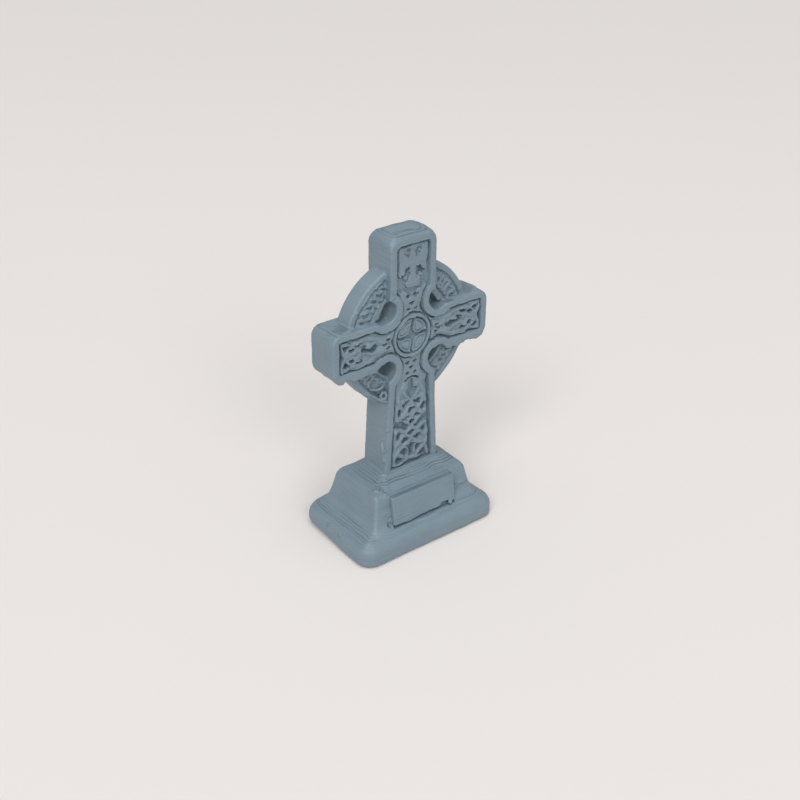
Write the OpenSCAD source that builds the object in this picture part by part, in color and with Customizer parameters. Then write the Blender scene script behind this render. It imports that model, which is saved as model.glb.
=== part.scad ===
// Celtic cross gravestone, a small 3D-printed tabletop model, printed in one piece.
// The carved front faces -Y, the arms run along X, and the foot slab stands on Z = 0.

/* [Overall] */
// Height from the underside of the foot slab to the top of the head
total_h = 32; // [30:0.5:36]
// Thickness of the cross, front face to back face
stone_t = 3.6; // [3.3:0.1:4]

/* [Foot slab] */
// Width of the foot slab
slab_w = 16.8; // [16:0.1:18]
// Depth of the foot slab, front to back
slab_d = 11.2; // [10.5:0.1:12]
// Height of the foot slab where the plinth rises from it
slab_h = 3.2; // [2.8:0.1:3.6]
// Radius of the slab's corners in plan
slab_corner = 1.9; // [1.6:0.1:2.6]

/* [Plinth] */
// Width of the plinth at its foot
plinth_w = 12.6; // [12:0.1:13.2]
// Depth of the plinth at its foot
plinth_d = 8.4; // [8:0.1:8.8]
// How far the plinth's sides lean in from foot to shoulder
plinth_batter = 0.5; // [0.3:0.05:0.9]
// Height of the plinth's shoulder above the ground
shoulder_z = 6.4; // [6.1:0.1:6.8]
// Height of the plinth's top, where the shaft rises from it
plinth_top_z = 7.4; // [7.2:0.1:7.7]

/* [Plaque] */
// Width of the blank plaque
plaque_w = 7.7; // [6:0.1:8]
// Height of the plaque
plaque_h = 3.2; // [2.6:0.1:3.3]
// How far the plaque stands off the plinth's face
plaque_proud = 0.45; // [0.2:0.05:0.7]

/* [Cross] */
// Height of the cross's centre above the ground
cross_z = 21.7; // [21:0.1:22.5]
// Width across both arms
arm_span = 18.2; // [17.4:0.1:19]
// Height of an arm
arm_h = 4.8; // [4.6:0.1:5]
// Width of the head
head_w = 5.3; // [5:0.1:5.6]
// Width of the shaft at its foot
shaft_foot_w = 6.5; // [6.2:0.1:6.8]
// Width of the shaft where it meets the ring
shaft_top_w = 5.5; // [5.2:0.1:5.8]
// Radius of the scoop in each armpit
scoop_r = 1.2; // [1:0.05:1.3]
// Distance of each scoop's centre from the cross's centre, along X and along Z
scoop_out = 3.1; // [3:0.05:3.2]

/* [Ring] */
// Outer radius of the ring
ring_r = 7.25; // [6.9:0.05:7.5]
// Inner radius of the ring
ring_inner_r = 4.6; // [4.4:0.1:4.8]
// Thickness of the ring, front to back
ring_t = 2; // [1.6:0.1:2.4]

/* [Carving] */
// Width of the raised border round the front of the cross
border_w = 0.75; // [0.6:0.05:0.9]
// Depth of the sunk panels inside the border
panel_depth = 0.45; // [0.3:0.05:0.6]
// Width of a strand of the knotwork
strand_w = 0.5; // [0.4:0.05:0.6]
// Height of a strand above the sunk panel
strand_h = 0.36; // [0.2:0.02:0.5]
// Outer radius of the roundel at the cross's centre
roundel_r = 2.25; // [2.1:0.05:2.3]

/* [Hidden] */
$fn = 64;

// Every exposed edge of the cross is eased by this much
ease = 0.3;
// Overlap that joins two solids
lap = 0.2;
// Strands are drawn a little wide, so that they meet the border and each other
strand_swell = 0.02;
// Thickness of the thin plans that a soft block is drawn through
skin = 0.02;
// A step too small to see, which keeps two faces apart
hair = 0.01;
// The heights between which strands fill the shaft's panel
shaft_panel_foot = plinth_top_z + 0.25;
shaft_panel_head = cross_z - 4.5;
// Half the width of the head's panel, and of the panels where they squeeze between two scoops
panel_half = head_w / 2 - border_w;
neck_half = scoop_out - scoop_r - border_w - 0.1;
// Width of the band round the roundel
roundel_band = 0.5;
// Length of a strand's full swing from side to side and back
plait_pitch = 5.1;
front_y = -stone_t / 2;

// Points on an arc, from angle a0 to angle a1
function arc(cx, cy, r, a0, a1, steps = 6) =
    [for (i = [0:steps]) let (a = a0 + (a1 - a0) * i / steps) [cx + r * cos(a), cy + r * sin(a)]];

// A triangle wave with softened corners, between -1 and 1, with period 1
function swing(t) = asin(0.96 * sin(360 * t)) / asin(0.96);

// Blends from 0 to 1 while x goes from a to b
function blend(x, a, b) = let (t = max(0, min(1, (x - a) / (b - a)))) t * t * (3 - 2 * t);

// Unit normal of a path at its point i
function normal_at(path, i) =
    let (a = path[max(0, i - 1)], b = path[min(len(path) - 1, i + 1)], d = b - a)
    [-d[1], d[0]] / norm(d);

// A flat ribbon of width w along a path
module ribbon(path, w) {
    last = len(path) - 1;
    left = [for (i = [0:last]) path[i] + normal_at(path, i) * w / 2];
    right = [for (i = [last:-1:0]) path[i] - normal_at(path, i) * w / 2];
    polygon(concat(left, right));
}

// Four interlacing strands between a and b along X, swinging as far as the given half width
module plait(a, b, half_a, half_b, widen_a, widen_b, phase = 0) {
    steps = ceil((b - a) / 0.28);
    for (k = [0:3])
        ribbon([for (i = [0:steps])
            let (s = a + (b - a) * i / steps, half = half_a + (half_b - half_a) * blend(s, widen_a, widen_b))
            [s, (half - strand_w / 2) * swing(s / plait_pitch + phase + k / 4)]], strand_w);
}

// The plan of the slab or the plinth, drawn in by inset
module plan(w, d, corner, inset = 0) {
    offset(r = corner - inset)
        square([w - 2 * corner, d - 2 * corner], center = true);
}

// A solid with soft upper edges, through a plan at each level: [how far drawn in, height]
module soft_block(w, d, corner, levels) {
    hull()
        for (level = levels)
            translate([0, 0, level[1] - skin])
                linear_extrude(skin)
                    plan(w, d, corner, level[0]);
}

module foot_slab() {
    foot_ease = 0.25;
    edge_r = 1.1;
    side_h = slab_h - edge_r - 0.4;
    linear_extrude(side_h)
        plan(slab_w, slab_d, slab_corner, foot_ease);
    translate([0, 0, foot_ease])
        linear_extrude(side_h - foot_ease)
            plan(slab_w, slab_d, slab_corner);
    soft_block(slab_w, slab_d, slab_corner, concat(
        [[hair, side_h - lap]],
        [for (a = [0:15:75]) [hair + edge_r * (1 - cos(a)), side_h + edge_r * sin(a)]],
        [[edge_r + 1, slab_h]]));
}

module plinth() {
    corner = 2;
    edge_r = 0.8;
    soft_block(plinth_w, plinth_d, corner, concat(
        [[0, slab_h - 2 * lap]],
        [for (a = [8:16:72]) [plinth_batter + edge_r * (1 - cos(a)), shoulder_z - edge_r * (1 - sin(a))]],
        [[plinth_batter + edge_r + 1.1, plinth_top_z]]));
}

// The blank plaque follows the lean of the plinth's front face
module plaque() {
    lean_angle = atan(plinth_batter / (shoulder_z - slab_h));
    mid_z = (slab_h + shoulder_z) / 2;
    face_y = -plinth_d / 2 + plinth_batter / 2;
    edge_r = 0.3;
    chamfer = 0.14;
    // How far the plaque runs into the plinth, so that its top stays joined where the shoulder curves away
    root = 1;
    translate([0, face_y - plaque_proud, mid_z])
        rotate([90 - lean_angle, 0, 0])
            for (layer = [[0, chamfer], [chamfer, 0]])
                translate([0, 0, -layer[1] - plaque_proud - root])
                    linear_extrude(plaque_proud + root)
                        offset(delta = -layer[0])
                            offset(r = edge_r)
                                square([plaque_w - 2 * edge_r, plaque_h - 2 * edge_r], center = true);
}

// The front outline of the cross, in X and Z
module cross_outline() {
    corner_r = 0.6;
    offset(r = corner_r)
        offset(delta = -corner_r)
            polygon([
                [-shaft_foot_w / 2, plinth_top_z - 1], [shaft_foot_w / 2, plinth_top_z - 1],
                [shaft_top_w / 2, cross_z - arm_h], [head_w / 2, cross_z],
                [head_w / 2, total_h], [-head_w / 2, total_h],
                [-head_w / 2, cross_z], [-shaft_top_w / 2, cross_z - arm_h]]);
    offset(r = corner_r)
        offset(delta = -corner_r)
            translate([-arm_span / 2, cross_z - arm_h / 2])
                square([arm_span, arm_h]);
}

// The outline with its four armpits scooped out, drawn in by inset
module scooped_outline(inset = 0) {
    difference() {
        offset(delta = -inset)
            cross_outline();
        for (sx = [-1, 1], sz = [-1, 1])
            translate([sx * scoop_out, cross_z + sz * scoop_out])
                circle(scoop_r + inset);
    }
}

// Carries a front outline from the back face to the front face, with its edges eased
module cross_body() {
    for (layer = [[0, ease], [ease * 0.3, ease * 0.3], [ease, 0]])
        rotate([90, 0, 0])
            linear_extrude(stone_t - 2 * layer[1], center = true)
                scooped_outline(layer[0]);
}

// The sunk panels: everything inside the border, above the plinth and outside the roundel
module panels_2d() {
    difference() {
        scooped_outline(border_w);
        circle_at_cross(roundel_r);
        translate([-arm_span / 2, 0])
            square([arm_span, shaft_panel_foot]);
    }
}

module circle_at_cross(r) {
    translate([0, cross_z])
        circle(r);
}

// Strands on the shaft, the arms, and the necks above and below the roundel
module strands_2d() {
    arm_panel_half = arm_h / 2 - border_w;
    arm_end = arm_span / 2 - border_w;
    neck_head = cross_z + 4.7;
    neck_swing = 0.55;
    neck_pitch = 2.4;
    neck_steps = 10;
    rotate(90)
        plait(shaft_panel_foot + 0.1, shaft_panel_head, panel_half + 0.4, panel_half,
              shaft_panel_foot, shaft_panel_head);
    for (side = [-1, 1])
        scale([side, 1])
            translate([0, cross_z])
                plait(roundel_r, arm_end - 0.1, neck_half, arm_panel_half, scoop_out, scoop_out + 1.6, 0.05);
    for (neck = [[cross_z + roundel_r - 0.1, neck_head], [shaft_panel_head, cross_z - roundel_r + 0.1]])
        rotate(90)
            for (turn = [-1, 1])
                ribbon([for (i = [0:neck_steps])
                    let (s = neck[0] + (neck[1] - neck[0]) * i / neck_steps)
                    [s, turn * neck_swing * sin(360 * (s - neck[0]) / neck_pitch)]], strand_w);
}

// A worn bird with spread wings fills the head panel
module head_figure_2d() {
    body_w = 0.9;
    tail_foot = cross_z + 5;
    tail_r = 0.65;
    wing_foot = cross_z + 6.2;
    wing_head = total_h - 1.5;
    wing_half = panel_half - 0.3;
    pit_r = 0.32;
    difference() {
        union() {
            translate([-body_w / 2, tail_foot])
                square([body_w, wing_head - tail_foot]);
            translate([-wing_half, wing_foot])
                square([2 * wing_half, wing_head - wing_foot]);
            translate([0, tail_foot + 0.4])
                circle(tail_r);
        }
        for (side = [-1, 1], pit = [[0.65, wing_head - 0.2], [0.75, wing_foot + 0.1]])
            translate([side * pit[0], pit[1]])
                circle(pit_r);
    }
}

module roundel_2d() {
    groove = 0.3;
    petal_r = 0.72;
    difference() {
        circle_at_cross(roundel_r);
        circle_at_cross(roundel_r - roundel_band);
    }
    for (sx = [-1, 1], sz = [-1, 1])
        translate([sx * (petal_r + groove / 2) * 0.95, cross_z + sz * (petal_r + groove / 2) * 0.95])
            difference() {
                circle(petal_r);
                circle(petal_r * 0.4);
            }
}

// Two strands wave along each quarter of the ring's front face
module ring_strands_2d() {
    mid_r = (ring_inner_r + ring_r) / 2 - 0.15;
    start = 24;
    sweep = 42;
    waves = 5;
    wave_h = 0.38;
    ring_strand_w = 0.32;
    steps = 26;
    for (quarter = [0:3], turn = [-1, 1])
        translate([0, cross_z])
            ribbon([for (i = [0:steps])
                let (a = quarter * 90 + start + sweep * i / steps,
                     r = mid_r + turn * wave_h * sin(360 * waves * i / steps))
                [r * cos(a), r * sin(a)]], ring_strand_w);
}

module ring() {
    edge_r = 0.5;
    half_t = ring_t / 2;
    translate([0, 0, cross_z])
        rotate([90, 0, 0])
            rotate_extrude($fn = 128)
                polygon(concat(
                    [[ring_inner_r, -half_t]],
                    arc(ring_r - edge_r, edge_r - half_t, edge_r, -90, 0),
                    arc(ring_r - edge_r, half_t - edge_r, edge_r, 0, 90),
                    [[ring_inner_r, half_t]]));
}

// Sets a flat shape on a front face at y = face, sunk a little into it and standing height proud
module raised(face, height) {
    translate([0, face + lap, 0])
        rotate([90, 0, 0])
            linear_extrude(height + lap)
                children();
}

module celtic_cross() {
    floor_y = front_y + panel_depth;
    ring_strand_h = 0.2;
    color("#77858d") {
        foot_slab();
        plinth();
        plaque();
        difference() {
            union() {
                cross_body();
                ring();
                raised(-ring_t / 2, ring_strand_h)
                    offset(delta = strand_swell)
                        difference() {
                            ring_strands_2d();
                            scooped_outline(-0.1);
                        }
            }
            translate([0, floor_y, 0])
                rotate([90, 0, 0])
                    linear_extrude(stone_t) {
                        panels_2d();
                        circle_at_cross(roundel_r - roundel_band);
                    }
        }
        raised(floor_y, strand_h)
            offset(delta = strand_swell)
                intersection() {
                    strands_2d();
                    panels_2d();
                }
        raised(floor_y, strand_h) {
            head_figure_2d();
            roundel_2d();
        }
    }
}

celtic_cross();
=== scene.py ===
import math

import bpy
import numpy as np
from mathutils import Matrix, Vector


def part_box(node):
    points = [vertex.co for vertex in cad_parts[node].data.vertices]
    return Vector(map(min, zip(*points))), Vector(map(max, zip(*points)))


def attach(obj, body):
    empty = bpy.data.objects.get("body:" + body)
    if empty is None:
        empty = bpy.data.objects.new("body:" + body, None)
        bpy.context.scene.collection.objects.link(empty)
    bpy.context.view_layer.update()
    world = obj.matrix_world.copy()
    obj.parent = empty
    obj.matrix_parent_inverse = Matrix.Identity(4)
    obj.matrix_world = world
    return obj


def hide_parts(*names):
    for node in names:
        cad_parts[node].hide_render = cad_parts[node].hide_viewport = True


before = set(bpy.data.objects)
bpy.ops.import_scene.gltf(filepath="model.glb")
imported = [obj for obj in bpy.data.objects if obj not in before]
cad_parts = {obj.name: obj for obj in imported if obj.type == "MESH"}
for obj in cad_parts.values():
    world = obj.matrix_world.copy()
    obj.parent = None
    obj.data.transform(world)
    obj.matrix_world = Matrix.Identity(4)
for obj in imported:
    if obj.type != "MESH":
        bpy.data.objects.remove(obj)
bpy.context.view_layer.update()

import openvdb
from mathutils import Matrix, Vector

# Celtic cross gravestone, a small tabletop model printed in one go from blue-grey PLA.
# The shape is worked out in millimetres as a distance field, meshed once, and set down in metres.

mm = 0.001
low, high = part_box("celtic_cross")
boxWide, boxDeep, boxTall = [(high[i] - low[i]) / mm for i in range(3)]
print("frame loaded, the cross is %.1f x %.1f x %.1f mm" % (boxWide, boxDeep, boxTall))

printing = {
    "stair": 0.13,         # height of the low stairs that the layers draw on a slope
    "gridStep": 0.078,
    "margin": 0.6,         # empty space kept round the shape
    "triangles": 196000,   # the finished mesh is thinned to at most this many triangles
    "stepOnSlopes": 0.8,   # 0 is a smooth slope, 1 is full stairs
    "stepInCarving": 0.2,
}


def softNoise(u, v, size, seed):
    # smooth random waves between -1 and 1, one cell of the lattice being size wide
    cells = 64
    dice = np.random.default_rng(seed)
    lattice = dice.uniform(-1, 1, (cells, cells)).astype(np.float32)
    u = u / size + cells // 2
    v = v / size + cells // 2
    iu = np.floor(u).astype(int)
    iv = np.floor(v).astype(int)
    fu = u - iu
    fv = v - iv
    fu = fu * fu * (3 - 2 * fu)
    fv = fv * fv * (3 - 2 * fv)
    a = lattice[iu % cells, iv % cells]
    b = lattice[(iu + 1) % cells, iv % cells]
    c = lattice[iu % cells, (iv + 1) % cells]
    d = lattice[(iu + 1) % cells, (iv + 1) % cells]
    return (a * (1 - fu) + b * fu) * (1 - fv) + (c * (1 - fu) + d * fu) * fv


def ramp(x, start, end):
    # climbs softly from 0 to 1 between two values
    t = np.clip((x - start) / (end - start), 0, 1)
    return t * t * (3 - 2 * t)


def terraced(z, amount):
    # heights drawn towards the nearest tread, so that a slope turns into soft stairs
    t = z / printing["stair"]
    foot = np.floor(t)
    g = 2 * (t - foot) - 1
    stairs = printing["stair"] * (foot + 0.5 + 0.5 * g * g * g * g * g)
    return z + amount * (stairs - z)


def roundBox(u, v, halfU, halfV, radius):
    # distance from a rectangle with round corners, negative inside
    qu = np.abs(u) - halfU + radius
    qv = np.abs(v) - halfV + radius
    outside = np.sqrt(np.maximum(qu, 0) ** 2 + np.maximum(qv, 0) ** 2)
    return outside + np.minimum(np.maximum(qu, qv), 0) - radius


def roundedMeet(a, b, radius):
    # the overlap of two shapes, with a rounded edge where they meet
    u = np.maximum(a + radius, 0)
    v = np.maximum(b + radius, 0)
    return np.minimum(np.maximum(a, b), -radius) + np.sqrt(u * u + v * v)


def blend(a, b, reach):
    # joins two shapes with a small fillet
    h = np.clip(0.5 + 0.5 * (b - a) / reach, 0, 1)
    return b * (1 - h) + a * h - reach * h * (1 - h)


step = printing["gridStep"]
edge = printing["margin"]
xs = np.arange(-boxWide / 2 - edge, boxWide / 2 + edge, step, dtype=np.float32)
ys = np.arange(-boxDeep / 2 - edge, boxDeep / 2 + edge, step, dtype=np.float32)
zs = np.arange(-edge, boxTall + edge, step, dtype=np.float32)
field = np.full((len(xs), len(ys), len(zs)), 1.0, dtype=np.float32)
beyond = 99    # past every edge of the grid
farAway = 9    # a distance that no cut or blend reaches
print("grid of", field.shape)


def block(xa, xb, ya, yb, za, zb):
    # a window on the grid, with its coordinates ready to broadcast
    cut = []
    for values, a, b in ((xs, xa, xb), (ys, ya, yb), (zs, za, zb)):
        i = np.searchsorted(values, (a, b))
        cut.append(slice(int(i[0]), int(i[1])))
    sx, sy, sz = cut
    return (sx, sy, sz), xs[sx][:, None, None], ys[sy][None, :, None], zs[sz][None, None, :]


base = {
    "slabHalfWide": 8.35,
    "slabHalfDeep": boxDeep / 2 - 0.05,
    "slabCorner": 1.5,
    "slabEdge": 1.35,      # radius of the slab's soft upper edge
    "slabFoot": 0.5,       # and of its lower one
    "slabRim": 2.75,       # height of the slab's edge
    "slabTop": 3.2,        # height where the plinth rises
    "slabRun": 2.1,        # how far in from the edge that is
    "plinthFrom": 1.5,     # height inside the slab where the plinth begins
    "plinthHalfWide": 6.1,
    "plinthHalfDeep": 3.95,
    "plinthCorner": 0.38,
    "plinthEdge": 0.7,
    "batter": 0.5,         # how far the plinth leans in up to its shoulder
    "flare": 0.25,         # how far its foot curves out besides
    "footOut": 0.2,        # its foot past the half width and half depth above
    "shoulder": 6.45,
    "roof": 7.5,           # height where the shaft rises
    "roofRun": 2.3,        # how far in from the shoulder that is
    "fillet": 0.55,        # where the plinth meets the slab
    "waves": 0.08,         # height of the soft waves on both tops
    "slumpLeft": 0.3,      # how far the slab's top drops at its two ends
    "slumpRight": 0.35,
}


def makeBase():
    p = base
    where, x, y, z = block(-beyond, beyond, -beyond, beyond, -beyond, p["roof"] + 0.8)
    zt = terraced(z, printing["stepOnSlopes"])
    plan = roundBox(x, y, p["slabHalfWide"], p["slabHalfDeep"], p["slabCorner"])
    plan = plan + 0.07 * softNoise(x, y, 2.3, 5) + 0.03 * softNoise(x + z, y + 0.6 * z, 1.1, 6)
    climb = (p["slabTop"] - p["slabRim"]) / p["slabRun"]
    inset = np.clip(-plan, -1, 4)
    waves = p["waves"] * softNoise(x, y, 1.6, 9)
    waves = waves - p["slumpLeft"] * ramp(-x, 4, 8) - p["slumpRight"] * ramp(x, 5.5, 8)
    top = (zt - p["slabRim"] - climb * inset - waves) * math.cos(math.atan(climb))
    slab = roundedMeet(plan, top, p["slabEdge"])
    # the lower edge is rounder at the left, behind
    slab = roundedMeet(slab, -z, p["slabFoot"] + 0.5 * ramp(-x, 6, 8) * ramp(y, -2, 3))
    up = (z - p["slabTop"]) / (p["shoulder"] - p["slabTop"])
    lean = p["batter"] * up + p["flare"] * (1 - np.exp(-3 * np.clip(up, 0, 1))) - p["footOut"]
    plan = roundBox(x, y, p["plinthHalfWide"] - lean, p["plinthHalfDeep"] - lean, p["plinthCorner"])
    rise = (p["roof"] - p["shoulder"]) / p["roofRun"]
    inset = np.clip(-plan, -1, 4)
    waves = p["waves"] * softNoise(x, y, 1.2, 14)
    # a rough patch on the roof's near left corner
    waves = waves + 0.2 * softNoise(x, y, 0.42, 15) * ramp(-x, 2.5, 4.5) * ramp(-y, 1.2, 2.6)
    top = (zt - p["shoulder"] - rise * inset - waves) * math.cos(math.atan(rise))
    plinth = roundedMeet(plan, top, p["plinthEdge"])
    plinth = np.maximum(plinth, p["plinthFrom"] - z)
    field[where] = blend(slab, plinth, p["fillet"])
    print("slab and plinth done")


plaque = {
    "halfWide": 3.88,
    "halfTall": 1.53,
    "proud": 0.62,
    "corner": 0.15,
    "edge": 0.12,
    "across": -0.28,       # it sits a little left of the middle
    "middle": 4.6,         # height of its centre
    "sag": 0.16,           # how far its lower edge hangs, left of the middle
    "nick": 0.26,          # and how far it stops short, near its right end
}


def makePlaque():
    # a blank plate that stands out from the plinth, with a sagging lower edge and a rough left side
    p = plaque
    tall = base["shoulder"] - base["slabTop"]
    lean = 0.9 * math.atan(base["batter"] / tall)
    faceY = -base["plinthHalfDeep"] + base["batter"] * (p["middle"] - base["slabTop"]) / tall + 0.02
    where, x, y, z = block(-5, 5, -6, -2.5, 2.3, 7.5)
    x = x - p["across"]
    out = -(y - faceY) * math.cos(lean) + (z - p["middle"]) * math.sin(lean)
    up = (y - faceY) * math.sin(lean) + (z - p["middle"]) * math.cos(lean)
    sag = p["sag"] * np.exp(-((x + 2.0) / 1.3) ** 2) + 0.05 * softNoise(x, 0 * x, 0.5, 27)
    lower = sag - p["nick"] * ramp(x, 1.9, 2.2) * (1 - ramp(x, 3.0, 3.25))
    d = roundBox(x, up + 0.5 * lower, p["halfWide"], p["halfTall"] + 0.5 * lower, p["corner"])
    d = roundedMeet(d, np.abs(out) - p["proud"], p["edge"])
    # open seams over it and under it, and ragged hollows beside its left end
    across = np.abs(x) - p["halfWide"]
    over = np.sqrt((up - p["halfTall"] - 0.04) ** 2 + (out + 0.05) ** 2) - 0.17
    under = np.maximum(np.abs(up + p["halfTall"] + 0.1) - 0.2, out - p["proud"] - 0.1)
    under = np.maximum(under, 0.1 - out)
    beside = np.maximum(np.abs(x + p["halfWide"] + 0.3) - 0.22, np.abs(up) - p["halfTall"])
    beside = np.maximum(beside, np.abs(out - 0.25) - 0.15) + 0.15 * softNoise(3 * x, z, 0.3, 28)
    seams = np.minimum(np.minimum(np.maximum(over, across), np.maximum(under, across)), beside)
    here = np.maximum(field[where], -seams)
    # a thread curled up at the right end of its lower edge
    curl = np.sqrt((x - 3.2) ** 2 + (up + p["halfTall"] - 0.02) ** 2 + (out - 0.6) ** 2) - 0.24
    field[where] = np.minimum(np.minimum(here, d), curl)
    print("plaque done")


cross = {
    "centre": 21.7,        # height of the roundel's centre
    "halfThick": 1.8,
    "armHalf": 2.4,
    "armCorner": 0.95,
    "headHalf": 2.65,
    "headCorner": 0.9,
    "shaftFootHalf": 3.25,
    "shaftTopHalf": 2.75,
    "shaftTop": 16.9,
    "scoopOut": 3.1,       # armpit scoops, centre out from the roundel along x and z
    "scoopRadius": 1.2,
    "edge": 0.19,
    "topEdge": 0.45,       # the edges round the top of the head are softer by this
    "threadDrop": 0.42,    # of the longest threads that hang down under the arms
    "border": 0.72,        # raised border round the carved front
    "sunk": 0.58,          # depth of the panels inside it
    "ringFillet": 0.14,
    "footFillet": 0.3,
}

ring = {
    "outer": 7.25,
    "inner": 4.6,
    "halfThick": 1.0,
    "edge": 0.24,
    "innerEdge": 0.12,
    "sag": 0.5,            # how far the upper half droops into the openings, at the front
    "bandInner": 4.85,
    "bandOuter": 6.7,
    "bandDepth": 0.27,
    "waves": 25,           # of each strand, once round
    "swing": 0.52,         # how far a strand leaves the middle of the band
}


def outline(x, z, droop=0.0):
    # front outline of the cross and of its armpit scoops, as two distances: negative in the material
    p = cross
    zc = p["centre"]
    climb = np.clip((z - base["roof"]) / (p["shaftTop"] - base["roof"]), -0.3, 1)
    half = p["shaftFootHalf"] + (p["shaftTopHalf"] - p["shaftFootHalf"]) * climb
    shaft = np.maximum(np.abs(x) - half, z - zc)
    headTall = (boxTall - zc) / 2
    head = roundBox(x, z - zc - headTall, p["headHalf"], headTall, p["headCorner"])
    head = np.maximum(head, -(z - zc) - 1)
    arms = roundBox(x, z - zc + droop / 2, boxWide / 2, p["armHalf"] + droop / 2, p["armCorner"])
    d = np.minimum(np.minimum(shaft, head), arms)
    du = np.abs(x) - p["scoopOut"]
    dv = np.abs(z - zc) - p["scoopOut"]
    scoop = p["scoopRadius"] - np.sqrt(du * du + dv * dv)
    return d, scoop


def makeCross():
    p = cross
    t = p["halfThick"]
    zc = p["centre"]
    where, x, y, z = block(-beyond, beyond, -t - 0.6, t + 0.6, base["roof"] - 2, beyond)
    zt = terraced(z, printing["stepOnSlopes"])
    # the undersides of the arms had nothing below them: their threads hang down unevenly
    hang = 0.5 + 0.5 * softNoise(x, 0.5 * y, 0.62, 21)
    hang = p["threadDrop"] * hang * hang + 0.12 * softNoise(2 * x, y, 0.5, 22)
    hang = np.maximum(hang, -0.05) * ramp(np.abs(x), 3.4, 4.6) * (1 - ramp(np.abs(x), 8.2, 9.0))
    # the tops of head and arms are a little domed
    dome = 0.3 * (y / t) ** 2 + 0.12 * (x / p["headHalf"]) ** 2 * (np.abs(x) < 3.5)
    dome = dome * ramp(z, boxTall - 2, boxTall) + 0.07 * softNoise(x, y, 0.9, 31)
    dome = dome + 0.12 * (y / t) ** 2 * (np.abs(x) > 4) * ramp(z, zc, zc + 2)
    d, scoop = outline(x, zt + dome, hang)
    d = np.maximum(d, scoop)
    d = d + 0.025 * softNoise(x, z, 1.3, 17) + 0.02 * softNoise(x + y, 2 * z, 0.5, 18)
    edgeRadius = p["edge"] + p["topEdge"] * ramp(z, boxTall - 1.6, boxTall - 0.2)
    body = roundedMeet(d, np.abs(y) - t, edgeRadius)
    # its foot ends inside the plinth
    body = np.maximum(body, base["roof"] - 1.5 - z)
    q = ring
    u = np.sqrt(x * x + (z - zc) ** 2)
    hoop = roundedMeet(u - q["outer"], np.abs(y) - q["halfThick"], q["edge"])
    angle = np.arctan2(z - zc, x)
    sag = 0.5 + 0.5 * softNoise(q["inner"] * angle, 0.4 * y, 0.5, 61)
    sag = q["sag"] * sag ** 2 * ramp(z, zc + 1.5, zc + 3) * ramp(-y, -0.1, 0.7)
    hoop = roundedMeet(hoop, q["inner"] - sag - u, q["innerEdge"])
    face = -q["halfThick"] + ringCarving(u, angle)
    hoop = np.maximum(hoop, (face - y) * 0.9)
    both = blend(body, hoop, p["ringFillet"])
    field[where] = blend(field[where], both, p["footFillet"])
    print("cross and ring done")


def ringCarving(u, angle):
    # depth of the ring's sunk band, with two wavy strands standing in it
    q = ring
    band = ramp(u, q["bandInner"], q["bandInner"] + 0.1) * (1 - ramp(u, q["bandOuter"] - 0.1, q["bandOuter"]))
    middle = (q["bandInner"] + q["bandOuter"]) / 2
    angle = angle + 0.05 * softNoise(u, 6 * angle, 0.8, 51)
    rise = np.zeros_like(u)
    for side in (-1, 1):
        wave = middle + side * q["swing"] * np.sin(q["waves"] * angle)
        slope = side * q["swing"] * q["waves"] * np.cos(q["waves"] * angle) / middle
        away = np.abs(u - wave) / np.sqrt(1 + slope * slope)
        lift = 1 + 0.25 * side * np.cos(q["waves"] * angle)
        rise = np.maximum(rise, lift * (1 - ramp(away, 0.1, 0.24)))
    return q["bandDepth"] * band * (1 - rise)


carving = {
    "gap": 0.17,           # narrow channel between the carving and the border
    "top": 0.46,           # height of the carving above the sunk panel
    "strand": 0.56,        # width of a strand
    "crown": 0.2,          # how far a strand stands above the web between strands
    "weave": 0.06,         # how much a strand rises and dips along its way
    "weaveLength": 1.8,
    "pit": 0.75,           # depth of the pits between strands
    "pitShift": 0.045,     # how far a pit's corners are out of place
    "pathStep": 0.07,      # length of the steps in which a path is followed
    "roundel": 2.25,
    "roundelBand": 0.44,
    "loopDepth": 0.17,     # of the loops in the roundel's leaves
    "dentDepth": 0.3,      # of the two dents in the bird
    "headShare": 0.2,      # how much shallower the head's panel is
}


def curve(points):
    # a smooth path through a few points
    p = np.array(points, dtype=float)
    p = np.vstack([2 * p[0] - p[1], p, 2 * p[-1] - p[-2]])
    out = []
    for i in range(1, len(p) - 2):
        a, b, c, d = p[i - 1:i + 3]
        n = max(2, int(np.linalg.norm(c - b) / carving["pathStep"]))
        t = np.linspace(0, 1, n, endpoint=False)[:, None]
        out.append(0.5 * (2 * b + (c - a) * t + (2 * a - 5 * b + 4 * c - d) * t * t
                          + (3 * b - a - 3 * c + d) * t ** 3))
    out.append(p[-2:-1])
    return np.vstack(out)


carvedX = xs[:, None]
carvedZ = terraced(zs, printing["stepInCarving"])[None, :]
strandCrown = np.zeros((len(xs), len(zs)), dtype=np.float32)
pitAway = np.full((len(xs), len(zs)), farAway, dtype=np.float32)
shallowAway = np.full((len(xs), len(zs)), farAway, dtype=np.float32)
pitDice = np.random.default_rng(77)


def toPath(points, x, z):
    # distance from a smooth path, and how far along it the nearest place is
    path = curve(points).astype(np.float32)
    away = (x[..., None] - path[:, 0]) ** 2 + (z[..., None] - path[:, 1]) ** 2
    return np.sqrt(away.min(axis=-1)), away.argmin(axis=-1) * carving["pathStep"]


def window(points, reach):
    # the part of the front that a few points cover
    p = np.array(points)
    i = np.searchsorted(xs, (p[:, 0].min() - reach, p[:, 0].max() + reach))
    k = np.searchsorted(zs, (p[:, 1].min() - reach, p[:, 1].max() + reach))
    return slice(int(i[0]), int(i[1])), slice(int(k[0]), int(k[1]))


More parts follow.
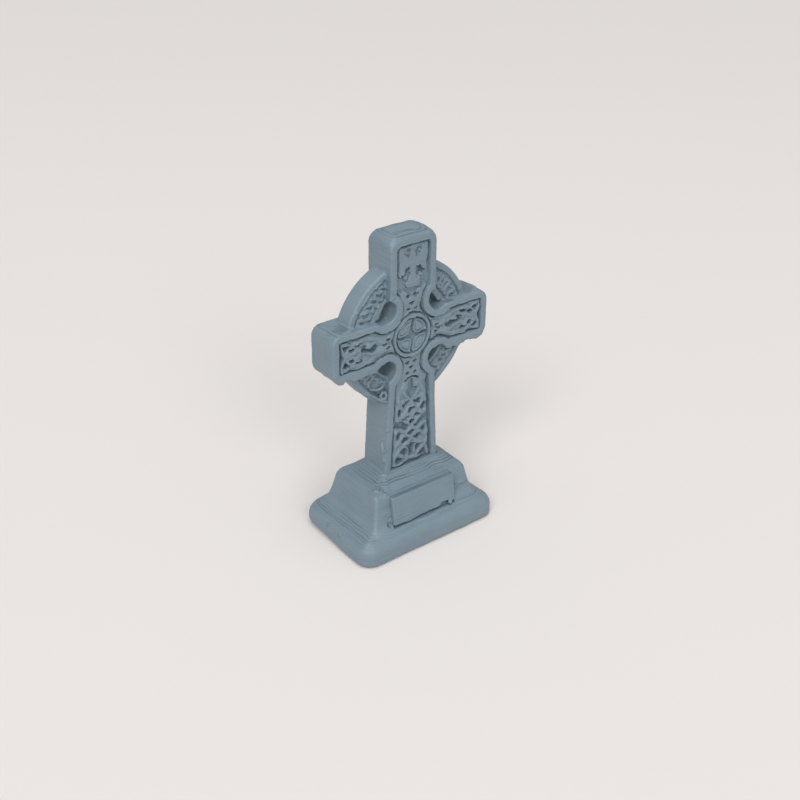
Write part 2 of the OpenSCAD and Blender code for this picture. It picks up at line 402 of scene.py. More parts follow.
def layStrand(points, phase):
    # a strand is highest along its middle, and rises and dips as it goes over and under others
    q = carving
    w = window(points, q["strand"] / 2 + 0.1)
    away, along = toPath(points, carvedX[w[0]], carvedZ[:, w[1]])
    crown = np.clip(1 - (2 * away / q["strand"]) ** 2, 0, 1)
    wave = 1 + q["weave"] / q["crown"] * np.sin(2 * math.pi * along / q["weaveLength"] + phase)
    here = strandCrown[w]
    np.maximum(here, crown * wave, out=here)


def press(corners, into):
    # distance from a pit's outline, its corners a little rounded and shifted: negative inside
    shift = carving["pitShift"]
    corners = [tuple(np.array(corner) + pitDice.uniform(-shift, shift, 2)) for corner in corners]
    w = window(corners, 0.5)
    x, z = np.broadcast_arrays(carvedX[w[0]], carvedZ[:, w[1]])
    near = np.full(x.shape, farAway ** 2, dtype=np.float32)
    inside = np.zeros(x.shape, dtype=bool)
    for (ax, az), (bx, bz) in zip(corners, corners[1:] + corners[:1]):
        ex, ez = bx - ax, bz - az
        t = np.clip(((x - ax) * ex + (z - az) * ez) / max(ex * ex + ez * ez, 1e-9), 0, 1)
        near = np.minimum(near, (x - ax - ex * t) ** 2 + (z - az - ez * t) ** 2)
        upright = ez if abs(ez) > 1e-9 else 1e-9
        inside ^= ((az > z) != (bz > z)) & (x < ax + ex * (z - az) / upright)
    away = np.where(inside, -1, 1) * np.sqrt(near) - 0.05
    here = into[w]
    np.minimum(here, away, out=here)


def groove(points, wide, into):
    # a narrow cut along a path
    w = window(points, 0.5)
    away = toPath(points, carvedX[w[0]], carvedZ[:, w[1]])[0]
    here = into[w]
    np.minimum(here, away - wide / 2, out=here)


def mirrored(points):
    # the same points on the other half of the front
    return [(-x, z) for x, z in points]


def fromCentre(points, side, flip):
    # points given from the roundel's centre, mirrored if side is -1 and turned over if flip is -1
    return [(side * x, cross["centre"] + flip * z) for x, z in points]


# Paths and pits of the carving: those of the shaft at their own heights, all others from the roundel's
# centre. One half is given of what comes on both sides.
shaftStrands = [
    # lower knot, from the foot of the shaft up
    [(0.0, 8.15), (0.55, 8.2), (1.1, 8.6), (1.7, 9.15), (1.95, 9.85), (1.6, 10.35), (1.1, 10.75), (0.5, 11.3),
     (0.0, 11.75), (-0.5, 12.3), (-1.1, 12.75), (-1.7, 13.05), (-1.85, 13.8), (-1.6, 14.4), (-1.1, 14.9)],
    [(0.0, 8.1), (1.0, 7.95), (1.75, 7.8), (2.1, 8.25), (1.95, 8.9), (1.4, 9.5), (0.8, 9.75), (0.35, 10.15),
     (0.0, 10.55), (-0.45, 10.95), (-0.9, 11.45), (-1.4, 11.75), (-1.85, 11.65), (-2.0, 11.0), (-1.95, 10.3)],
    [(0.4, 8.25), (0.36, 8.9), (0.5, 9.5)],
    # upper knot
    [(-0.35, 12.1), (0.05, 12.9), (0.45, 13.3), (1.0, 13.95), (1.5, 14.6), (1.5, 15.3), (1.1, 16.2),
     (0.6, 16.9)],
    [(1.0, 14.85), (0.4, 14.8), (0.0, 14.3), (-0.4, 13.85), (-0.85, 13.4), (-1.3, 13.0)],
    [(0.0, 14.75), (0.5, 15.2), (0.9, 15.8), (0.6, 16.4)],
]
armStrands = [
    [(2.2, 0.6), (2.9, 0.3), (3.6, -0.42), (4.6, -0.52), (5.3, -0.3), (5.8, 0.08), (6.4, 0.5), (7.0, 0.85),
     (7.8, 1.35), (8.2, 1.1), (8.0, 0.5), (7.5, 0.0), (6.9, -0.2), (6.3, -0.5)],
    [(2.2, 0.8), (3.2, 0.5), (4.1, 0.8), (4.9, 1.12), (5.8, 1.22), (6.6, 1.15), (7.2, 0.75), (7.5, 0.4),
     (7.9, -0.2), (8.15, -0.9)],
]
shaftPits = [
    [(1.05, 8.22), (1.4, 8.5), (1.7, 8.45), (1.82, 8.05), (1.5, 8.08)],
    [(0.58, 9.3), (1.15, 9.3), (1.02, 9.0), (0.64, 8.72)],
    [(0.4, 10.5), (0.92, 10.78), (1.03, 10.6), (1.0, 10.25), (0.85, 10.2)],
    [(1.22, 11.3), (1.62, 11.4), (1.6, 10.85), (1.5, 10.85), (1.45, 11.12)],
    [(0.4, 13.0), (0.6, 13.08), (0.98, 12.92), (0.7, 12.86)],
    [(1.25, 13.6), (1.38, 14.1), (1.53, 14.1), (1.57, 13.65), (1.4, 13.35)],
    [(0.32, 14.66), (0.8, 14.72), (1.02, 14.5), (0.88, 14.2), (0.7, 14.32)],
    [(0.5, 11.9), (0.62, 12.0), (0.72, 11.8), (0.6, 11.72)],
]
shaftMiddlePits = [
    [(-0.42, 11.15), (-0.15, 11.36), (0.2, 11.34), (0.34, 11.2), (0.08, 10.98), (-0.1, 10.98)],
    [(-0.24, 12.45), (-0.05, 12.62), (0.18, 12.5), (0.26, 12.35), (0.05, 12.2), (-0.14, 12.28)],
    [(-0.42, 13.65), (-0.15, 13.96), (0.18, 13.94), (0.36, 13.78), (0.02, 13.52), (-0.2, 13.5)],
    [(-0.48, 9.75), (0.48, 9.75), (0.25, 9.35), (0.1, 8.9), (0.07, 8.5), (-0.08, 8.5), (-0.12, 8.9),
     (-0.27, 9.35)],
]
shaftHollows = [
    [(2.6, 12.75), (1.75, 12.8), (1.25, 12.65), (0.6, 12.05), (0.5, 11.8), (0.75, 11.72), (1.3, 12.1),
     (2.6, 12.35)],
    [(0.0, 15.1), (0.36, 15.5), (0.62, 15.92), (0.12, 16.08), (0.1, 16.6), (0.04, 16.95), (0.0, 16.95)],
]
armPits = [
    [(7.32, 1.0), (7.6, 1.08), (7.9, 0.98), (7.68, 0.72)],
    [(6.75, 0.58), (6.95, 0.66), (7.22, 0.55), (6.95, 0.45)],
    [(5.85, 0.98), (6.1, 0.98), (6.5, 0.82), (6.1, 0.78)],
    [(2.72, 0.42), (2.85, 0.5), (3.02, 0.42), (2.85, 0.34)],
]
armMiddlePits = [
    [(3.05, -0.02), (3.15, 0.12), (3.38, 0.1), (3.25, -0.08)],
    [(4.1, 0.0), (4.3, 0.24), (4.75, 0.26), (5.1, 0.1), (5.5, 0.08), (5.95, 0.1), (5.5, -0.02), (5.0, -0.14),
     (4.6, -0.3), (4.25, -0.25)],
    [(5.4, 0.4), (5.6, 0.42), (5.9, 0.28), (5.65, 0.26)],
]
armHollow = [(8.02, 0.0), (8.3, 0.6), (8.5, 1.1), (8.6, 0.0), (8.5, -1.1), (8.3, -0.6)]
headSlits = [
    [(0.42, 6.82), (0.56, 6.98), (0.8, 6.82), (1.06, 6.38), (0.9, 6.3), (0.66, 6.56)],
    [(1.0, 6.34), (1.1, 6.4), (1.4, 6.22), (1.36, 6.12)],
]
neckPits = [
    [(0.32, 3.98), (0.48, 4.16), (0.66, 4.14), (0.5, 3.88)],
    [(0.34, 2.74), (0.46, 2.8), (0.54, 2.72), (0.44, 2.68)],
    [(0.0, 3.42), (0.2, 3.36), (0.0, 3.2)],
    [(0.0, 2.4), (0.3, 2.36), (0.34, 2.3), (0.0, 2.28)],
]
lowNeckPits = [
    [(0.3, -2.8), (0.45, -2.74), (0.58, -2.84), (0.42, -2.94)],
    [(0.0, -3.3), (0.16, -3.36), (0.0, -3.52)],
    [(0.32, -3.98), (0.42, -3.92), (0.52, -4.0), (0.42, -4.06)],
]


def layFront():
    # strands weave over and under in opposite phase, and pits draw from pitDice in this order
    for points in shaftStrands:
        layStrand(points, 0.0)
        layStrand(mirrored(points), math.pi)
    for side in (-1, 1):
        for points in armStrands:
            layStrand(fromCentre(points, side, 1), 0.0)
            layStrand(fromCentre(points, side, -1), math.pi)
        for corners in shaftPits:
            press([(side * x, z) for x, z in corners], pitAway)
        for corners in shaftHollows:
            press([(side * x, z) for x, z in corners], shallowAway)
        for corners in headSlits + neckPits + lowNeckPits:
            press(fromCentre(corners, side, 1), pitAway)
        for corners in armPits:
            press(fromCentre(corners, side, 1), pitAway)
            press(fromCentre(corners, side, -1), pitAway)
        for corners in armMiddlePits:
            press(fromCentre(corners, side, 1), pitAway)
        press(fromCentre(armHollow, side, 1), shallowAway)
    for corners in shaftMiddlePits:
        press(corners, pitAway)
    underRoundel = [(-0.75, -4.7), (-0.4, -4.5), (0.0, -4.42), (0.4, -4.5), (0.85, -4.75)]
    groove(fromCentre(underRoundel, 1, 1), 0.12, pitAway)


def layHeadFigure():
    # a worn bird with raised wings, two feet and a rounded tail, as a distance: negative inside
    x = carvedX
    z = carvedZ - cross["centre"]
    side = np.abs(x)
    ragged = 0.05 * softNoise(x, z, 0.3, 41) + 0.035 * softNoise(x, z, 0.13, 42)
    body = roundBox(x, z - 7.7, 1.75, 1.5, 0.4)
    body = np.maximum(body, 6.62 - 0.28 * side - z)
    tail = roundBox(x, z - 5.85, 0.38 + 0.44 * ramp(-z, -6.2, -5.35), 0.92, 0.38)
    foot = np.sqrt((side - 0.86) ** 2 + (z - 6.08) ** 2) - 0.22
    toe = np.sqrt((side - 0.74) ** 2 + (z - 5.72) ** 2) - 0.16
    body = np.minimum(np.minimum(body, tail), np.minimum(foot, toe)) + ragged
    # the carving in the neck below it
    below = z - 4.05 - 0.55 * side + 0.15 * np.cos(4.5 * x) + ragged
    # two comma-shaped dents
    dent = np.sqrt((side - 0.62) ** 2 + (z - 8.45) ** 2) - 0.37
    dent = np.maximum(dent, 0.16 - np.sqrt((side - 0.76) ** 2 + (z - 8.4) ** 2))
    tip = np.sqrt(((side - 0.5) * 1.7) ** 2 + (z - 8.02) ** 2) - 0.22
    return np.minimum(body, below), np.minimum(dent, tip) + ragged


def roundelHeight():
    # a raised band round four pinched leaves, each leaf with loops cut into it
    q = carving
    dx = carvedX
    dz = carvedZ - cross["centre"]
    u = np.sqrt(dx * dx + dz * dz)
    inner = q["roundel"] - q["roundelBand"]
    band = ramp(u, inner - 0.02, inner + 0.12) * (1 - ramp(u, q["roundel"] - 0.12, q["roundel"] + 0.02))
    band = band * (1 - 0.12 * ramp(np.abs(u - inner - 0.26), 0.08, 0.26))
    far = np.maximum(np.abs(dx), np.abs(dz))
    leaf = np.minimum(np.abs(dx + 0.09 * np.sin(3 * dz)), np.abs(dz + 0.06 * np.sin(4 * dx)))
    leaf = leaf - 0.1 - 0.26 * np.exp(-(far / 0.45) ** 2) + 0.05 * softNoise(dx, dz, 0.7, 44)
    leaf = np.minimum(leaf, inner - 0.07 - u)
    height = (q["top"] - 0.02) * ramp(leaf, -0.05, 0.1)
    height = height - q["loopDepth"] * np.exp(-((leaf - 0.27) / 0.06) ** 2)
    ragged = 0.03 * softNoise(dx, dz, 0.5, 43)
    return u, np.maximum((q["top"] + 0.03 + ragged) * band, height + ragged)


def frontDepth():
    # depth of the carved front below the border, over the whole outline
    p = cross
    q = carving
    zc = p["centre"]
    d, scoop = outline(carvedX, carvedZ)
    solid = np.maximum(d, scoop)
    panel = np.maximum(solid + p["border"], base["roof"] + 0.05 - carvedZ)
    panel = roundedMeet(panel, carvedZ - (boxTall - 1.0), 0.55)
    panel = panel + 0.03 * softNoise(carvedX, carvedZ, 0.6, 3)
    inHead = ramp(carvedZ, zc + 4.4, zc + 5.0)
    sunk = p["sunk"] * (1 - q["headShare"] * inHead)
    uneven = 0.1 * softNoise(carvedX, carvedZ, 0.7, 2)
    floor = (sunk + uneven) * ramp(-panel, -0.04, 0.08)
    layFront()
    # the carving fills the panel up to a channel of uneven width, twice as wide at the shaft's right
    channel = q["gap"] * (1 + 0.6 * softNoise(carvedX, carvedZ, 0.9, 4))
    channel = channel + q["gap"] * ramp(carvedX, 0.6, 1.4) * (1 - ramp(carvedZ, 16.2, 17.0))
    mass = panel + channel
    mass = np.maximum(mass, 7.95 - 0.1 * carvedX ** 2 - carvedZ)
    head, dents = layHeadFigure()
    aboveRoundel = carvedZ > zc + 3.2
    mass = np.where(aboveRoundel, np.maximum(mass - 0.06 + 0.14 * inHead, head), mass)
    mass = np.maximum(mass, 0.05 - shallowAway)
    height = (q["top"] - q["crown"] / 2 + q["crown"] * strandCrown) * (1 - ramp(mass, -0.07, 0.04))
    height = height - q["dentDepth"] * (1 - ramp(dents, -0.08, 0.03))
    height = height * (1 - 0.14 * inHead)
    # the roundel takes the place of all that is inside it
    u, roundel = roundelHeight()
    inside = u < q["roundel"] + 0.1
    height = np.where(inside, roundel, height)
    floor = np.where(inside, p["sunk"], floor)
    depth = np.where(inside, floor, np.maximum(floor, sunk * (floor > 0.3)))
    depth = np.minimum(depth, floor + 0.1) - np.minimum(height, floor + 0.02)
    deep = 1 - ramp(np.where(inside, farAway, pitAway), -0.01, 0.08)
    depth = depth + (q["pit"] - depth) * deep
    depth = depth + 0.02 * softNoise(carvedX, carvedZ, 0.3, 8)
    # the left border of the neck came out rough
    rough = ramp(softNoise(carvedX, carvedZ, 0.17, 9), 0.1, 0.6)
    onNeck = ramp(carvedZ, zc + 2.2, zc + 2.9) * (1 - ramp(carvedZ, zc + 4.9, zc + 6.2))
    depth = depth + 0.09 * rough * (ramp(-carvedX, 1.6, 1.9) * onNeck)
    print("carving laid out")
    return np.maximum(depth, 0) * (solid < 0.3)


def carveFront():
    t = cross["halfThick"]
    depth = frontDepth()
    where, _, y, _ = block(-beyond, beyond, -t - 0.3, -t + 1.0, base["roof"], beyond)
    cut = depth[where[0], where[2]]
    gx, gz = np.gradient(cut, step)
    steep = 1 / np.sqrt(1 + gx * gx + gz * gz)
    face = (-t + cut)[:, None, :]
    away = (face - y) * steep[:, None, :]
    touched = cut[:, None, :] > 0.004
    here = field[where]
    np.maximum(here, np.where(touched, away, -farAway), out=here)
    print("front carved")


def sagUndersides():
    # threads hang a little wherever the cross faces down, and more under the upper part of the ring
    sagging = {"least": 0.13, "underRing": 0.22}
    slope = np.zeros_like(field)
    slope[:, :, 1:-1] = (field[:, :, 2:] - field[:, :, :-2]) / (2 * step)
    lumps = 0.5 + 0.5 * softNoise(xs[:, None], 0.45 * ys[None, :], 0.45, 23)
    lumps = lumps[:, :, None]
    high = (zs > base["roof"] + 2)[None, None, :]
    zc = cross["centre"]
    upper = (ramp(zs, zc + 1.5, zc + 2.5) * (1 - ramp(zs, zc + 5, zc + 6)))[None, None, :]
    beside = (np.abs(xs) > 1.6)[:, None, None]
    amount = sagging["least"] + sagging["underRing"] * upper * beside * lumps
    field[...] = field - amount * ramp(-slope, 0.2, 0.95) * high * lumps
    print("undersides sagged")


def addThread(a, b, radius):
    # a straight length of thread, or a blob where both ends are the same
    a, b = np.array(a), np.array(b)
    start, end = np.minimum(a, b) - 0.6, np.maximum(a, b) + 0.6
    where, x, y, z = block(start[0], end[0], start[1], end[1], start[2], end[2])
    way = b - a
    along = (x - a[0]) * way[0] + (y - a[1]) * way[1] + (z - a[2]) * way[2]
    t = np.clip(along / max(way @ way, 1e-9), 0, 1)
    d = np.sqrt((x - a[0] - t * way[0]) ** 2 + (y - a[1] - t * way[1]) ** 2 + (z - a[2] - t * way[2]) ** 2)
    field[where] = blend(field[where], d - radius, 0.09)


strays = {
    "thread": 0.12,        # radius of a string
    "blobs": [             # each one's place and radius
        ((-8.28, 1.2, 1.9), 0.15),
        ((-8.28, -0.9, 1.8), 0.15),
        ((-5.9, -1.0, 25.3), 0.16),
        ((-3.05, -1.7, 12.3), 0.15),
        ((2.95, -0.95, 25.3), 0.15),
        ((3.2, -0.9, 25.05), 0.17),
        ((2.7, -0.9, 25.5), 0.13),
        ((3.45, -0.95, 24.8), 0.12),
    ],
    "strings": [
        # hanging down the shaft's left side
        [(-3.14, -1.0, 10.6), (-3.25, -1.42, 10.0), (-3.3, -1.5, 8.8)],
        [(-3.16, -1.78, 10.3), (-3.27, -1.5, 9.8)],
        # curled up where the ring comes down to the shaft
        [(-3.62, -1.5, 16.3), (-3.4, -1.5, 16.6), (-3.1, -1.55, 16.5), (-3.0, -1.6, 16.2),
         (-3.15, -1.6, 15.9), (-3.45, -1.55, 15.9), (-3.62, -1.5, 16.3)],
        [(-4.7, -1.05, 16.6), (-4.1, -1.2, 16.2), (-3.5, -1.45, 15.7), (-3.05, -1.65, 15.55)],
        [(-4.5, -1.1, 17.1), (-3.9, -1.3, 16.95), (-3.4, -1.5, 17.15)],
        # drawn across from the plaque
        [(3.6, -4.05, 4.5), (4.6, -3.84, 4.38), (5.6, -3.84, 4.5)],
    ],
}


def addStrays():
    # blobs and strings left by the nozzle
    for place, radius in strays["blobs"]:
        addThread(place, place, radius)
    for points in strays["strings"]:
        for a, b in zip(points, points[1:]):
            addThread(a, b, strays["thread"])
    print("blobs and strings added")


def largestPiece(quads, count):
    # the faces that hang together with the largest body, without loose crumbs
    label = np.arange(count)
    ends = np.vstack([quads[:, (0, 1)], quads[:, (1, 2)], quads[:, (2, 3)]]).astype(np.int64)
    while True:
        smaller = label[ends].min(axis=1)
        fresh = label.copy()
        np.minimum.at(fresh, ends[:, 0], smaller)
        np.minimum.at(fresh, ends[:, 1], smaller)
        fresh = fresh[fresh[fresh]]
        if (fresh == label).all():
            break
        label = fresh
    bodies = np.bincount(label[quads[:, 0]], minlength=count)
    loose = len(quads) - int(bodies.max())
    print("bodies in the field:", int((bodies > 0).sum()), "faces in loose ones:", loose)
    return quads[label[quads[:, 0]] == bodies.argmax()]


def meshFromField():
    # the surface where the field is zero, in metres
    grid = openvdb.FloatGrid()
    grid.background = 1.0
    grid.copyFromArray(np.ascontiguousarray(field), tolerance=0.0)
    points, _, quads = grid.convertToPolygons(isovalue=0.0, adaptivity=0.0)
    quads = largestPiece(quads, len(points))
    used = np.unique(quads)
    fresh = np.zeros(len(points), dtype=np.int64)
    fresh[used] = np.arange(len(used))
    quads = fresh[quads]
    points = points[used].astype(np.float64) * step + np.array([xs[0], ys[0], zs[0]])
    mesh = bpy.data.meshes.new("celticCrossPrint")
    mesh.from_pydata((points * mm).tolist(), [], quads.tolist())
    mesh.validate()
    print("meshed,", len(quads), "quads")
    return mesh


def printedCross():
    makeBase()
    makePlaque()
    makeCross()
    carveFront()
    sagUndersides()
    addStrays()
    piece = bpy.data.objects.new("celticCrossPrint", meshFromField())
    bpy.context.scene.collection.objects.link(piece)
    triangles = 2 * len(piece.data.polygons)
    if triangles > printing["triangles"]:
        thin = piece.modifiers.new("thin", "DECIMATE")
        thin.ratio = printing["triangles"] / triangles
        bpy.context.view_layer.update()
        made = bpy.data.meshes.new_from_object(piece.evaluated_get(bpy.context.evaluated_depsgraph_get()))
        piece.modifiers.clear()
        piece.data = made
    for face in piece.data.polygons:
        face.use_smooth = True
    print("finished mesh,", len(piece.data.polygons), "faces")
    return piece


def linear(hexColour):
    # sRGB hex to the linear values that the shaders take
    parts = [int(hexColour[i:i + 2], 16) / 255 for i in (1, 3, 5)]
    return tuple(c / 12.92 if c <= 0.04045 else ((c + 0.055) / 1.055) ** 2.4 for c in parts) + (1.0,)


def addNode(tree, kind, settings=None, links=None):
    # settings are properties by name or input sockets by name or number; links give an input its source
    node = tree.nodes.new(kind)
    for name, value in (settings or {}).items():
        if isinstance(name, int) or name in node.inputs:
            node.inputs[name].default_value = value
        else:
            setattr(node, name, value)
    for name, source in (links or {}).items():
        tree.links.new(source, node.inputs[name])
    return node


def perMetre(size):
    # how often a pattern of this size in millimetres comes in a metre
    return 1 / (size * mm)


def printedPla():
    # PLA filament, laid down in layers: matte to satin, streaked along them, slightly uneven in tone, with
    # painted shade along the risers of the layer stairs
    look = {
        "paler": "#788B97",
        "deeper": "#6F828F",
        # painted shade in the grooves between the layers, the colour that the riser lines take
        "creaseShade": "#586A75",
        "roughness": 0.43,
        "ior": 1.46,
        "creaseShadeShare": 0.78,   # how far the lines on the risers go over to the crease colour, which is painted shade
        "streakShare": 0.42,   # and how far the tone follows the streaks
        "drift": 3.846,        # sizes of the patterns, in millimetres
        "wobble": 1.667,
        "streakLong": 3.846,
        "streakTall": 0.2174,
        "variedLong": 4.545,
        "variedTall": 0.3846,
        "grain": 0.1923,       # real dust is finer, and this is as coarse as it needs to be to show
        "streakHeight": 0.055,
        "grainHeight": 0.013,
        "creaseDepth": 0.03,
    }
    material = bpy.data.materials.new("printedPla")
    material.use_nodes = True
    tree = material.node_tree
    tree.nodes.clear()
    place = addNode(tree, "ShaderNodeTexCoord").outputs["Object"]
    height = addNode(tree, "ShaderNodeSeparateXYZ", {}, {"Vector": place}).outputs["Z"]
    # the riser of every stair is a line of painted shade, which draws contour lines on the shallow slopes
    wobble = addNode(tree, "ShaderNodeTexNoise", {"Scale": perMetre(look["wobble"]), "Detail": 2.0},
                     {"Vector": place})
    count = addNode(tree, "ShaderNodeMath", {"operation": "MULTIPLY", 1: perMetre(printing["stair"])},
                    {0: height})
    shifted = addNode(tree, "ShaderNodeMath", {"operation": "MULTIPLY_ADD", 1: 0.25},
                      {0: wobble.outputs["Fac"], 2: count.outputs[0]})
    fold = addNode(tree, "ShaderNodeMath", {"operation": "PINGPONG", 1: 0.5}, {0: shifted.outputs[0]})
    riser = addNode(tree, "ShaderNodeMapRange",
                    {"interpolation_type": "SMOOTHSTEP", "From Min": 0.14, "From Max": 0.36},
                    {"Value": fold.outputs[0]})
    facing = addNode(tree, "ShaderNodeSeparateXYZ", {},
                     {"Vector": addNode(tree, "ShaderNodeNewGeometry").outputs["Normal"]}).outputs["Z"]
    flat = addNode(tree, "ShaderNodeMath", {"operation": "ABSOLUTE"}, {0: facing})
    shallow = addNode(tree, "ShaderNodeMapRange", {"From Min": 0.58, "From Max": 0.88, "To Min": 0.1},
                      {"Value": flat.outputs[0]})
    # the ring's rim, between the arms and the head, came out smooth
    armTop = cross["centre"] + cross["armHalf"]
    ringTop = cross["centre"] + ring["outer"]
    underRim = addNode(tree, "ShaderNodeMapRange",
                       {"From Min": (armTop + 0.3) * mm, "From Max": (armTop + 1.1) * mm,
                        "To Min": 1.0, "To Max": 0.0},
                       {"Value": height})
    overRim = addNode(tree, "ShaderNodeMapRange",
                      {"From Min": (ringTop - 0.35) * mm, "From Max": (ringTop + 0.65) * mm},
                      {"Value": height})
    offRim = addNode(tree, "ShaderNodeMath", {"operation": "ADD"},
                     {0: underRim.outputs[0], 1: overRim.outputs[0]})
    # some risers are deep and some hardly there, so their painted shade varies in strength
    variedScale = (perMetre(look["variedLong"]), perMetre(look["variedLong"]), perMetre(look["variedTall"]))
    spread = addNode(tree, "ShaderNodeVectorMath", {"operation": "MULTIPLY", 1: variedScale}, {0: place})
    varied = addNode(tree, "ShaderNodeTexNoise", {"Scale": 1.0, "Detail": 1.0},
                     {"Vector": spread.outputs[0]})
    strength = addNode(tree, "ShaderNodeMapRange", {"From Min": 0.35, "From Max": 0.62, "To Min": 0.15},
                       {"Value": varied.outputs["Fac"]})
    drawn = addNode(tree, "ShaderNodeMath", {"operation": "MULTIPLY"},
                    {0: riser.outputs[0], 1: shallow.outputs[0]})
    clear = addNode(tree, "ShaderNodeMath", {"operation": "MULTIPLY"},
                    {0: drawn.outputs[0], 1: offRim.outputs[0]})
    seen = addNode(tree, "ShaderNodeMath", {"operation": "MULTIPLY"},
                   {0: clear.outputs[0], 1: strength.outputs[0]})
    # layers that stand out a hair more or less than their neighbours streak the walls
    streakScale = (perMetre(look["streakLong"]), perMetre(look["streakLong"]), perMetre(look["streakTall"]))
    stretch = addNode(tree, "ShaderNodeVectorMath", {"operation": "MULTIPLY", 1: streakScale}, {0: place})
    streak = addNode(tree, "ShaderNodeTexNoise", {"Scale": 1.0, "Detail": 3.0, "Roughness": 0.6},
                     {"Vector": stretch.outputs[0]})
    # nozzle dust and tiny lumps
    grain = addNode(tree, "ShaderNodeTexNoise", {"Scale": perMetre(look["grain"]), "Detail": 2.0},
                    {"Vector": place})
    # slow drift of tone where the plastic ran hotter or cooler
    tone = addNode(tree, "ShaderNodeTexNoise", {"Scale": perMetre(look["drift"]), "Detail": 3.0},
                   {"Vector": place})
    banded = addNode(tree, "ShaderNodeMixRGB", {"Fac": look["streakShare"]},
                     {"Color1": tone.outputs["Fac"], "Color2": streak.outputs["Fac"]})
    shades = addNode(tree, "ShaderNodeValToRGB", {}, {"Fac": banded.outputs["Color"]})
    shades.color_ramp.elements[0].position = 0.3
    shades.color_ramp.elements[0].color = linear(look["deeper"])
    shades.color_ramp.elements[1].position = 0.7
    shades.color_ramp.elements[1].color = linear(look["paler"])
    # the riser lines are painted in the darker crease shade
    share = addNode(tree, "ShaderNodeMath", {"operation": "MULTIPLY", 1: look["creaseShadeShare"]},
                    {0: seen.outputs[0]})
    colour = addNode(tree, "ShaderNodeMixRGB", {"Color2": linear(look["creaseShade"])},
                     {"Fac": share.outputs[0], "Color1": shades.outputs["Color"]})
    streaks = addNode(tree, "ShaderNodeBump", {"Strength": 1.0, "Distance": look["streakHeight"] * mm},
                      {"Height": streak.outputs["Fac"]})
    grains = addNode(tree, "ShaderNodeBump", {"Strength": 1.0, "Distance": look["grainHeight"] * mm},
                     {"Height": grain.outputs["Fac"], "Normal": streaks.outputs["Normal"]})
    creases = addNode(tree, "ShaderNodeBump",
                      {"Strength": 1.0, "Distance": look["creaseDepth"] * mm, "invert": True},
                      {"Height": seen.outputs[0], "Normal": grains.outputs["Normal"]})
    shader = addNode(tree, "ShaderNodeBsdfPrincipled", {"Roughness": look["roughness"], "IOR": look["ior"]},
                     {"Base Color": colour.outputs["Color"], "Normal": creases.outputs["Normal"]})
    addNode(tree, "ShaderNodeOutputMaterial", {}, {"Surface": shader.outputs["BSDF"]})
    return material


def paperFloor():
    # seamless paper sweep, matte: pale warm grey that catches a faint soft shadow
    paper = {
        "deeper": "#DEDBDA",
        "paler": "#E0DDDC",
        "faded": "#E6E1DE",    # what it goes over into far away
        "roughness": 0.9,
        "patch": 111.1,        # millimetres from one shade to the next
        "fadeFrom": 0.1,       # metres
        "fadeTo": 0.7,
        "halfWide": 3.0,
    }
    material = bpy.data.materials.new("backdropPaper")
    material.use_nodes = True
    tree = material.node_tree
    shader = tree.nodes["Principled BSDF"]
    shader.inputs["Roughness"].default_value = paper["roughness"]
    place = addNode(tree, "ShaderNodeTexCoord").outputs["Object"]
    tone = addNode(tree, "ShaderNodeTexNoise", {"Scale": perMetre(paper["patch"]), "Detail": 2.0},
                   {"Vector": place})
    shades = addNode(tree, "ShaderNodeValToRGB", {}, {"Fac": tone.outputs["Fac"]})
    shades.color_ramp.elements[0].color = linear(paper["deeper"])
    shades.color_ramp.elements[1].color = linear(paper["paler"])
    tree.links.new(shader.inputs["Base Color"], shades.outputs["Color"])
    # far away the paper goes over into the pale room, so no horizon shows
    far = addNode(tree, "ShaderNodeVectorMath", {"operation": "LENGTH"}, {0: place})
    share = addNode(tree, "ShaderNodeMapRange",
                    {"interpolation_type": "SMOOTHSTEP", "From Min": paper["fadeFrom"],
                     "From Max": paper["fadeTo"]},
                    {"Value": far.outputs["Value"]})
    ray = addNode(tree, "ShaderNodeLightPath")
    veiled = addNode(tree, "ShaderNodeMath", {"operation": "MULTIPLY"},
                     {0: share.outputs[0], 1: ray.outputs["Is Camera Ray"]})
    veil = addNode(tree, "ShaderNodeEmission", {"Color": linear(paper["faded"])})
    both = addNode(tree, "ShaderNodeMixShader", {},
                   {0: veiled.outputs[0], 1: shader.outputs[0], 2: veil.outputs[0]})
    tree.links.new(tree.nodes["Material Output"].inputs["Surface"], both.outputs[0])
    size = paper["halfWide"]
    corners = [(-size, -size, 0), (size, -size, 0), (size, size, 0), (-size, size, 0)]
    mesh = bpy.data.meshes.new("backdropPaper")
    mesh.from_pydata(corners, [], [(0, 1, 2, 3)])
    mesh.materials.append(material)
    floor = bpy.data.objects.new("backdropPaper", mesh)
    bpy.context.scene.collection.objects.link(floor)
    return floor


def outFrom(azimuth, elevation):
    # direction from the middle of the scene, azimuth from the front and both in degrees
    a, e = math.radians(azimuth), math.radians(elevation)
    return Vector((math.sin(a) * math.cos(e), -math.cos(a) * math.cos(e), math.sin(e)))


def softLight(name, away, azimuth, elevation, size, power, colour):
    lamp = bpy.data.lights.new(name, "AREA")
    lamp.shape = "DISK"
    lamp.size = size
    lamp.energy = power
    lamp.color = linear(colour)[:3]
    body = bpy.data.objects.new(name, lamp)
    body.location = away * outFrom(azimuth, elevation)
    body.rotation_euler = (-body.location).to_track_quat("-Z", "Y").to_euler()
    body.visible_camera = False
    bpy.context.scene.collection.objects.link(body)


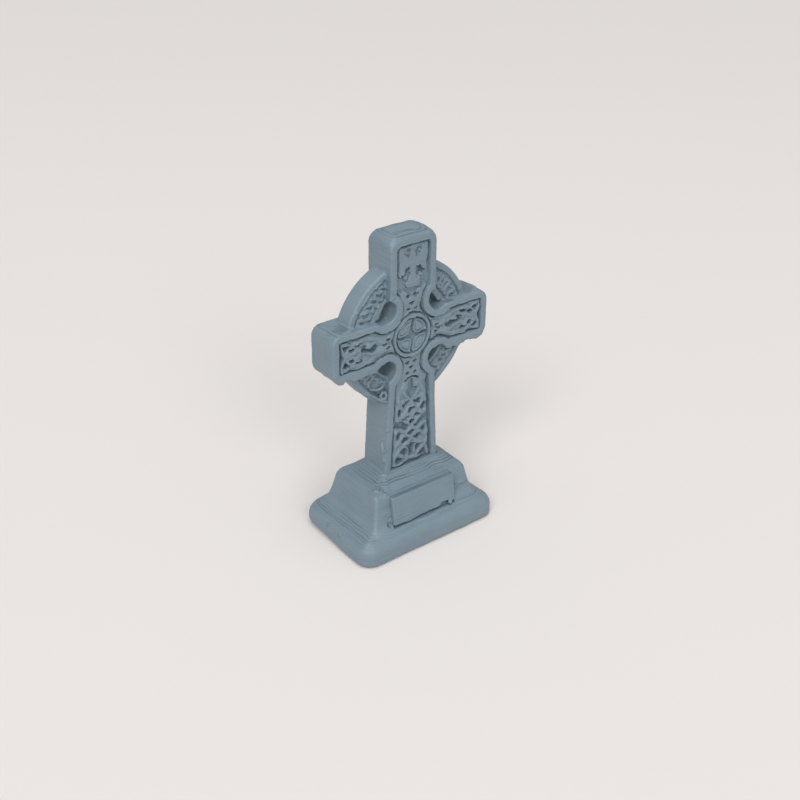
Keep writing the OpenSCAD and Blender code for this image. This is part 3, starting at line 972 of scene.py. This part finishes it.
def studio():
    # an even white room, two broad lights in front of the piece and one high over it
    light = {
        "room": "#FFFDFB",
        "roomStrength": 0.43,
        "seen": "#E6E1DE",     # the room as the camera sees it
        "away": 1.8,           # metres from the piece to each lamp
        "lamps": {             # azimuth and elevation in degrees, size in metres, watts, colour
            "leftLight": (-58, 42, 0.72, 11.6, "#FFFDFB"),
            "rightLight": (-13, 33, 0.84, 7.6, "#FFFDF9"),
            "overhead": (-35, 80, 1.2, 11.5, "#FFFEFC"),
        },
    }
    world = bpy.data.worlds.new("softRoom")
    world.use_nodes = True
    tree = world.node_tree
    tree.nodes.clear()
    lit = addNode(tree, "ShaderNodeBackground",
                  {"Color": linear(light["room"]), "Strength": light["roomStrength"]})
    seen = addNode(tree, "ShaderNodeBackground", {"Color": linear(light["seen"]), "Strength": 1.0})
    ray = addNode(tree, "ShaderNodeLightPath")
    both = addNode(tree, "ShaderNodeMixShader", {},
                   {0: ray.outputs["Is Camera Ray"], 1: lit.outputs[0], 2: seen.outputs[0]})
    addNode(tree, "ShaderNodeOutputWorld", {}, {"Surface": both.outputs[0]})
    bpy.context.scene.world = world
    for name, lamp in light["lamps"].items():
        softLight(name, light["away"], *lamp)
    bpy.context.scene.view_settings.view_transform = "Standard"


def addCamera():
    view = {
        "azimuth": -37.76,     # degrees, as are elevation and roll
        "elevation": 29.66,
        "roll": 0.56,
        "distance": 3.508 * boxTall,
        "lens": 51.55,
        "aimHigh": 0.4357 * boxTall,
        "aimRight": -0.1,
    }
    back = outFrom(view["azimuth"], view["elevation"])
    a = math.radians(view["azimuth"])
    level = Vector((math.cos(a), math.sin(a), 0))
    upright = back.cross(level)
    r = math.radians(view["roll"])
    right = level * math.cos(r) + upright * math.sin(r)
    up = upright * math.cos(r) - level * math.sin(r)
    aim = Vector((0, 0, view["aimHigh"])) + view["aimRight"] * right
    camera = bpy.data.cameras.new("camera")
    camera.lens = view["lens"]
    camera.clip_start = 0.005
    camera.clip_end = 20
    body = bpy.data.objects.new("camera", camera)
    turn = Matrix((right, up, back)).transposed().to_4x4()
    turn.translation = (aim + back * view["distance"]) * mm
    body.matrix_world = turn
    bpy.context.scene.collection.objects.link(body)
    bpy.context.scene.camera = body


addCamera()
crossPiece = printedCross()
crossPiece.data.materials.append(printedPla())
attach(crossPiece, "root")
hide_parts("celtic_cross")
paperFloor()
studio()
print("materials, floor and lights done")
